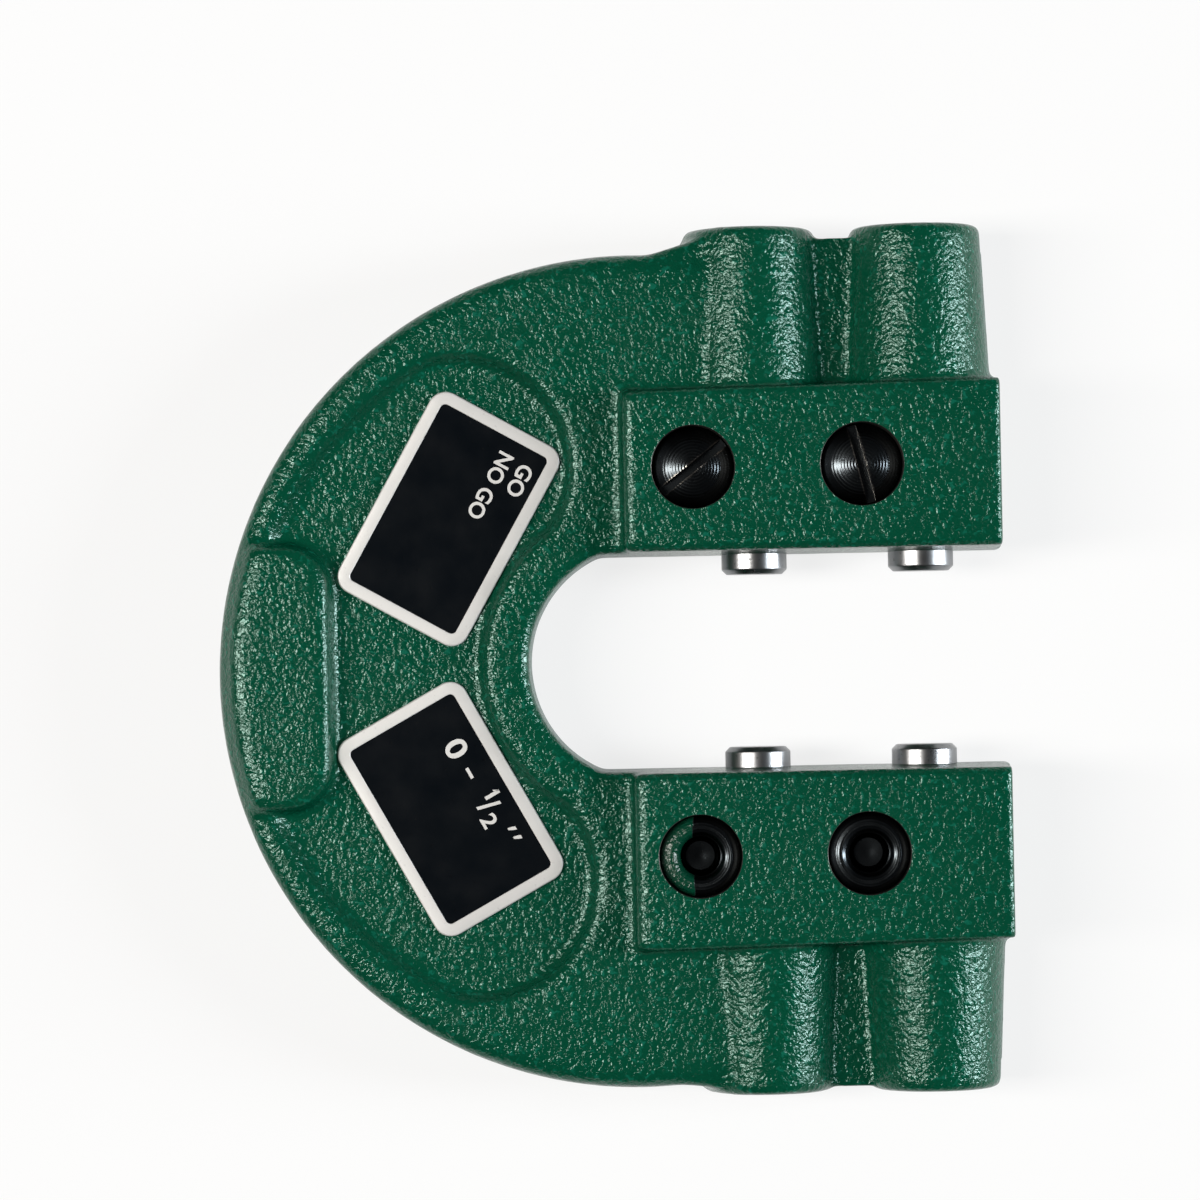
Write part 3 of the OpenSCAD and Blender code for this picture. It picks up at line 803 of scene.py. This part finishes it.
    @staticmethod
    def lock_holes(s):
        """Cutter for the four cross holes."""
        low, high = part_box("frame")
        half = (high.z - low.z) / 2
        out = bmesh.new()
        for _, _, node in fittings("locking_screw"):
            place, radius, _ = along_z(node, False)
            r = radius + s.clearance
            side = [(r, half - 2 * s.lip), (r + 0.25 * s.lip, half - s.lip), (r + s.lip, half - 0.02 * MM),
                    (r + s.lip, half + MM)]
            mirrored = [(x, -z) for x, z in reversed(side)]
            profile = [(0.0, -half - MM), *mirrored, *side, (0.0, half + MM)]
            join_into(out, lathe(profile, HOLE_STEPS), place)
        return out


class GAUGE_OT_pins(bpy.types.Operator):
    """Builds the four ground gauging pins."""

    bl_idname = "gauge.pins"
    bl_label = "Gauging pins"

    def execute(self, context):
        f = context.scene.gauge_fittings
        made = metal_material("ground_steel", f.steel, roughness=0.30, stretch=(500.0, 16000.0, 500.0),
                              mark_height=0.003 * MM)
        for _, _, node in fittings("pin"):
            place, r, length = along_y(node)
            b = f.bevel
            profile = [(0.0, 0.0), (r - b, 0.0), (r, b), (r, length - b), (r - b, length), (0.0, length)]
            bm = lathe(eased(profile, f.ease), f.steps)
            bmesh.ops.transform(bm, matrix=place, verts=bm.verts)
            finish_piece(new_object(f"{node}.ground", bm, [made]), node, node)
        return {"FINISHED"}


class GAUGE_OT_adjusting_screws(bpy.types.Operator):
    """Builds the four slotted adjusting screws."""

    bl_idname = "gauge.adjusting_screws"
    bl_label = "Adjusting screws"

    def execute(self, context):
        f = context.scene.gauge_fittings
        made = metal_material("blackened_screw", f.oxide, roughness=0.34, stretch=(900.0, 2500.0, 900.0),
                              mark_height=0.004 * MM)
        for _, _, node in fittings("adjusting_screw"):
            place, r, length = along_y(node)
            b = 0.3 * MM
            core = r - f.thread_depth
            wall = rows(b, length - b, f.adjust_pitch / 8)
            profile = eased([(0.0, 0.0), (core - b / 2, 0.0), (core, b * 0.9)], f.ease)
            profile += [(core, z) for z in wall]
            profile += eased([(core, length - b * 0.9), (core - b / 2, length), (0.0, length)], f.ease)
            bm = lathe(profile, f.steps)
            cut_thread(bm, core, f.thread_depth, f.adjust_pitch, wall[0], wall[-1])
            obj = new_object(f"{node}.threaded", bm, [made])
            cut_slot(obj, r, length, f.adjust_slot, f.adjust_slot_depth)
            obj.data.transform(place)
            finish_piece(crease(obj), node, node)
        return {"FINISHED"}


class GAUGE_OT_locking_screws(bpy.types.Operator):
    """Builds the four locking screws with turned, slotted heads."""

    bl_idname = "gauge.locking_screws"
    bl_label = "Locking screws"

    def execute(self, context):
        f = context.scene.gauge_fittings
        for jaw, station, node in fittings("locking_screw"):
            flipped = jaw == "lower"
            place, r, (tip, top) = along_z(node, flipped)
            core = SHANK_R - f.thread_depth
            neck = CONE_END - r + SHANK_R
            wall = rows(tip + 0.25 * MM, neck - 0.1 * MM, f.lock_pitch / 8)
            profile = [(0.0, tip + DIMPLE_DEPTH), (DIMPLE_R, tip), (core - TIP_BEVEL, tip)]
            profile += [(core, z) for z in wall]
            profile += [(SHANK_R, neck), (r, CONE_END)] + self.head(f, r, top)
            bm = lathe(profile, f.steps)
            cut_thread(bm, core, f.thread_depth, f.lock_pitch, wall[0], wall[-1])
            turn = math.radians(SLOT_TURN[jaw, station])
            side = -1.0 if flipped else 1.0
            made = screw_material(f"{node}.oxide", f, tuple(place.translation), turn, side)
            obj = new_object(f"{node}.turned", bm, [made])
            cut_slot(obj, r, top, f.lock_slot, f.lock_slot_depth, -turn if flipped else turn)
            obj.data.transform(place)
            finish_piece(crease(obj, sharp=30.0), node, node)
        return {"FINISHED"}

    @staticmethod
    def head(f, r, top):
        """Profile of the domed head with its turning rings, from the rim to the middle."""
        points = []
        for x in rows(r, 0.0, f.ring_pitch / 6):
            height = top - f.dome * (1.0 - math.sqrt(max(0.0, 1.0 - (x / r) ** 2)))
            fade = f.ring_depth * (1.0 - 0.6 * x / r)
            points.append((x, height - fade * turned_ring(f, x)))
        return points


class GAUGE_OT_locking_bushes(bpy.types.Operator):
    """Builds the four threaded locking bushes."""

    bl_idname = "gauge.locking_bushes"
    bl_label = "Locking bushes"

    def execute(self, context):
        f = context.scene.gauge_fittings
        casting = context.scene.gauge_casting
        plain = black_material("blackened_bush", f.oxide, roughness=0.22)
        for jaw, station, node in fittings("locking_bush"):
            place, r, (nose, top) = along_z(node, jaw == "upper")
            wall = rows(nose + 0.15 * MM, top - BUSH_FUNNEL_DROP - 0.1 * MM, f.lock_pitch / 8)
            profile = [(BUSH_BORE_R, nose), (BUSH_NOSE_R, nose), (r, CONE_END)] + self.rim(f, r, top)
            profile += [(BUSH_BORE_R, z) for z in reversed(wall)] + [(BUSH_BORE_R, nose)]
            bm = lathe(profile, f.steps)
            cut_thread(bm, BUSH_BORE_R, BUSH_THREAD, f.lock_pitch, wall[0], wall[-1])
            bmesh.ops.transform(bm, matrix=place, verts=bm.verts)
            made = plain
            if (jaw, station) == ("lower", "no_go"):
                face = place @ Vector((-0.10 * MM, 0.0, top))
                made = painted_bush_material(f"{node}.part_painted", f.oxide, casting, tuple(face))
            finish_piece(new_object(f"{node}.turned", bm, [made], sharp=30.0), node, node)
        return {"FINISHED"}

    @staticmethod
    def rim(f, r, top):
        """Profile of the rounded rim with its turning rings, from the outside to the funnel."""
        points = []
        for angle in rows(0.0, math.pi, math.pi / 60):
            outside = angle < math.pi / 2
            reach = r - BUSH_CREST_R if outside else BUSH_CREST_R - BUSH_BORE_R
            drop = BUSH_RIM_DROP if outside else BUSH_FUNNEL_DROP
            x = BUSH_CREST_R + reach * math.cos(angle)
            ring = 0.9 * f.ring_depth * math.sin(angle) * turned_ring(f, x)
            points.append((x, top - drop * (1.0 - math.sin(angle)) - ring))
        return points


class GAUGE_OT_plates(bpy.types.Operator):
    """Builds the two printed plates and their lettering."""

    bl_idname = "gauge.plates"
    bl_label = "Printed plates"

    def execute(self, context):
        s = context.scene.gauge_plates
        metal = metal_material("plate_metal", s.metal, roughness=0.42, stretch=(2200.0, 2200.0, 2200.0),
                               mark_height=0.002 * MM, metallic=0.25, pits=shaded(s.metal, 0.9))
        field = metal_material("plate_field", s.field, roughness=0.20, stretch=(1500.0, 1500.0, 1500.0),
                               mark_height=0.002 * MM, metallic=0.0, specular=0.2)
        for node, (turn, lines) in LETTERING.items():
            low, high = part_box(node)
            centre = (low + high) / 2
            place = Matrix.Translation((centre.x, centre.y, low.z))
            place = place @ Matrix.Rotation(math.radians(turn), 4, "Z")
            thick = high.z - low.z
            bm = self.plate(s, thick)
            bmesh.ops.transform(bm, matrix=place, verts=bm.verts)
            obj = new_object(f"{node}.etched", bm, [metal, field], sharp=28.0)
            finish_piece(obj, "frame", node)
            for number, (words, along, up, width, height, *lean) in enumerate(lines):
                bm = self.letters(s, words, width * MM, height * MM, *lean)
                spot = Matrix.Translation((along * MM, up * MM, thick - s.etch - LETTER_SINK))
                bmesh.ops.transform(bm, matrix=place @ spot, verts=bm.verts)
                obj = new_object(f"{node}.lettering_{number}", bm, [metal])
                finish_piece(obj, "frame", None)
        return {"FINISHED"}

    @staticmethod
    def plate(s, thick):
        """A plate with rounded corners and rim and a sunk field."""
        length, width, corner = s.size
        bm = bmesh.new()
        outline = Matrix.Diagonal((length, width, 1.0, 1.0))
        bmesh.ops.create_grid(bm, x_segments=1, y_segments=1, size=0.5, matrix=outline)
        bmesh.ops.bevel(bm, geom=bm.verts[:], offset=corner, offset_type="OFFSET", affect="VERTICES",
                        segments=10, profile=0.5, material=-1)
        top = bmesh.ops.extrude_face_region(bm, geom=bm.faces[:])["geom"]
        raised = [v for v in top if isinstance(v, bmesh.types.BMVert)]
        bmesh.ops.translate(bm, verts=raised, vec=(0, 0, thick))
        rim = [e for e in bm.edges if all(v.co.z > thick / 2 for v in e.verts)]
        bmesh.ops.bevel(bm, geom=rim, offset=s.ease, offset_type="OFFSET", affect="EDGES",
                        segments=4, profile=0.5, material=-1)
        bm.normal_update()
        face = max((f for f in bm.faces if f.normal.z > 0.99), key=lambda f: f.calc_area())
        bmesh.ops.inset_region(bm, faces=[face], thickness=s.border - s.ease, use_even_offset=True)
        bmesh.ops.inset_region(bm, faces=[face], thickness=s.etch * 1.5, depth=-s.etch, use_even_offset=True)
        face.material_index = 1
        bmesh.ops.recalc_face_normals(bm, faces=bm.faces)
        return bm

    @staticmethod
    def letters(s, words, width, height, lean=0.0):
        """Lettering as a thin mesh centred on the origin, of the given size, slanted by its lean."""
        curve = bpy.data.curves.new("words", "FONT")
        curve.body = words
        curve.offset = s.stroke
        curve.extrude = 0.01
        curve.resolution_u = 6
        curve.shear = lean
        obj = bpy.data.objects.new("words", curve)
        bpy.context.scene.collection.objects.link(obj)
        bpy.context.view_layer.update()
        mesh = bpy.data.meshes.new_from_object(obj.evaluated_get(bpy.context.evaluated_depsgraph_get()))
        bpy.data.objects.remove(obj)
        bpy.data.curves.remove(curve)
        if not len(mesh.vertices):
            raise RuntimeError(f"no letters were made for {words}")
        bm = bmesh.new()
        bm.from_mesh(mesh)
        bpy.data.meshes.remove(mesh)
        bmesh.ops.remove_doubles(bm, verts=bm.verts, dist=1e-6)
        lows = Vector([min(v.co[i] for v in bm.verts) for i in range(3)])
        highs = Vector([max(v.co[i] for v in bm.verts) for i in range(3)])
        bmesh.ops.translate(bm, verts=bm.verts, vec=-(lows + highs) / 2)
        size = highs - lows
        scale = (width / size.x, height / size.y, LETTER_THICKNESS / size.z)
        bmesh.ops.scale(bm, verts=bm.verts, vec=scale)
        return bm


class GAUGE_OT_stage(bpy.types.Operator):
    """Sets up the camera, lamps, floor and background."""

    bl_idname = "gauge.stage"
    bl_label = "Stage"

    def execute(self, context):
        s = context.scene.gauge_stage
        scene = context.scene
        mid = middle_height()
        camera = bpy.data.objects.new("camera", bpy.data.cameras.new("camera"))
        scene.collection.objects.link(camera)
        camera.location = (s.centre_x, 0.0, mid + s.height)
        camera.rotation_euler = (0.0, 0.0, s.roll)
        camera.data.sensor_width = SENSOR_WIDTH
        camera.data.lens = SENSOR_WIDTH * s.height / s.view_width
        camera.data.shift_x, camera.data.shift_y = s.shift
        camera.data.clip_start = 0.01
        scene.camera = camera
        lamps = [self.lamp("lamp_left", LEFT_PLACE, s.left_level, WARM),
                 self.lamp("lamp_right", RIGHT_PLACE, s.right_level, COOL)]
        floor = self.floor(s)
        self.world(s)
        scene.view_settings.view_transform = "Standard"
        return {"FINISHED"}

    @staticmethod
    def lamp(name, place, level, colour):
        """A soft rectangular lamp aimed at the middle of the gauge."""
        data = bpy.data.lights.new(name, "AREA")
        data.shape = "RECTANGLE"
        data.size, data.size_y = LAMP_SIZE
        data.energy = level
        data.color = colour
        made = bpy.data.objects.new(name, data)
        made.location = place
        made.rotation_euler = Vector(place).to_track_quat("Z", "Y").to_euler()
        bpy.context.scene.collection.objects.link(made)
        return made

    @staticmethod
    def floor(s):
        """A pale round floor that keeps the gauge's shadow, looks white and is clear from below."""
        bm = bmesh.new()
        place = Matrix.Translation((0, 0, -FLOOR_DROP))
        bmesh.ops.create_circle(bm, cap_ends=True, segments=96, radius=FLOOR_RADIUS, matrix=place)
        made, tree, shader = new_material("pale_floor")
        set_inputs(tree, shader, {"Base Color": s.floor, "Roughness": 0.9})
        share = worked(tree, "MULTIPLY", seen_share(tree, FLOOR_MIRRORED), FLOOR_WHITE)
        white = add(tree, "ShaderNodeEmission", {"Color": WHITE, "Strength": 1.0})
        above = blended(tree, share, shader, white)
        below = add(tree, "ShaderNodeNewGeometry").outputs["Backfacing"]
        both = blended(tree, below, above, add(tree, "ShaderNodeBsdfTransparent"))
        set_inputs(tree, node_of_type(tree, "OUTPUT_MATERIAL"), {"Surface": both.outputs[0]})
        return new_object("floor", bm, [made])

    @staticmethod
    def world(s):
        """Even light from all around, white to the camera, with a pale horizon for metal to show."""
        world = bpy.data.worlds.new("studio")
        world.use_nodes = True
        tree = world.node_tree
        sky = node_of_type(tree, "BACKGROUND")
        set_inputs(tree, sky, {"Color": s.sky})
        aim = add(tree, "ShaderNodeTexCoord").outputs["Generated"]
        height = add(tree, "ShaderNodeSeparateXYZ", {0: aim}).outputs["Z"]
        seen = seen_share(tree, ramp(tree, height, *HORIZON, low=1.0, high=0.0))
        white = add(tree, "ShaderNodeBackground", {"Color": WHITE, "Strength": 1.0})
        blend = blended(tree, seen, sky, white)
        set_inputs(tree, node_of_type(tree, "OUTPUT_WORLD"), {"Surface": blend.outputs[0]})
        bpy.context.scene.world = world


OPERATORS = (GAUGE_OT_casting, GAUGE_OT_pins, GAUGE_OT_adjusting_screws, GAUGE_OT_locking_screws,
             GAUGE_OT_locking_bushes, GAUGE_OT_plates, GAUGE_OT_stage)
SETTINGS = {"gauge_casting": GaugeCasting, "gauge_fittings": GaugeFittings, "gauge_plates": GaugePlates,
            "gauge_stage": GaugeStage}


class GAUGE_PT_panel(bpy.types.Panel):
    """Lists the steps that build the gauge, with their settings."""

    bl_idname = "GAUGE_PT_panel"
    bl_label = "Snap gauge"
    bl_space_type = "VIEW_3D"
    bl_region_type = "UI"
    bl_category = "Snap gauge"

    def draw(self, context):
        for operator in OPERATORS:
            self.layout.operator(operator.bl_idname)
        for name, group in SETTINGS.items():
            box = self.layout.box()
            for key in group.__annotations__:
                box.prop(getattr(context.scene, name), key)


CLASSES = (*SETTINGS.values(), *OPERATORS, GAUGE_PT_panel)


def register():
    for cls in CLASSES:
        bpy.utils.register_class(cls)
    for name, group in SETTINGS.items():
        setattr(bpy.types.Scene, name, bpy.props.PointerProperty(type=group))


def unregister():
    for name in SETTINGS:
        delattr(bpy.types.Scene, name)
    for cls in reversed(CLASSES):
        bpy.utils.unregister_class(cls)


def main():
    register()
    bpy.ops.gauge.stage()
    bpy.ops.gauge.casting()
    bpy.ops.gauge.pins()
    bpy.ops.gauge.adjusting_screws()
    bpy.ops.gauge.locking_screws()
    bpy.ops.gauge.locking_bushes()
    bpy.ops.gauge.plates()


if __name__ == "__main__":
    main()
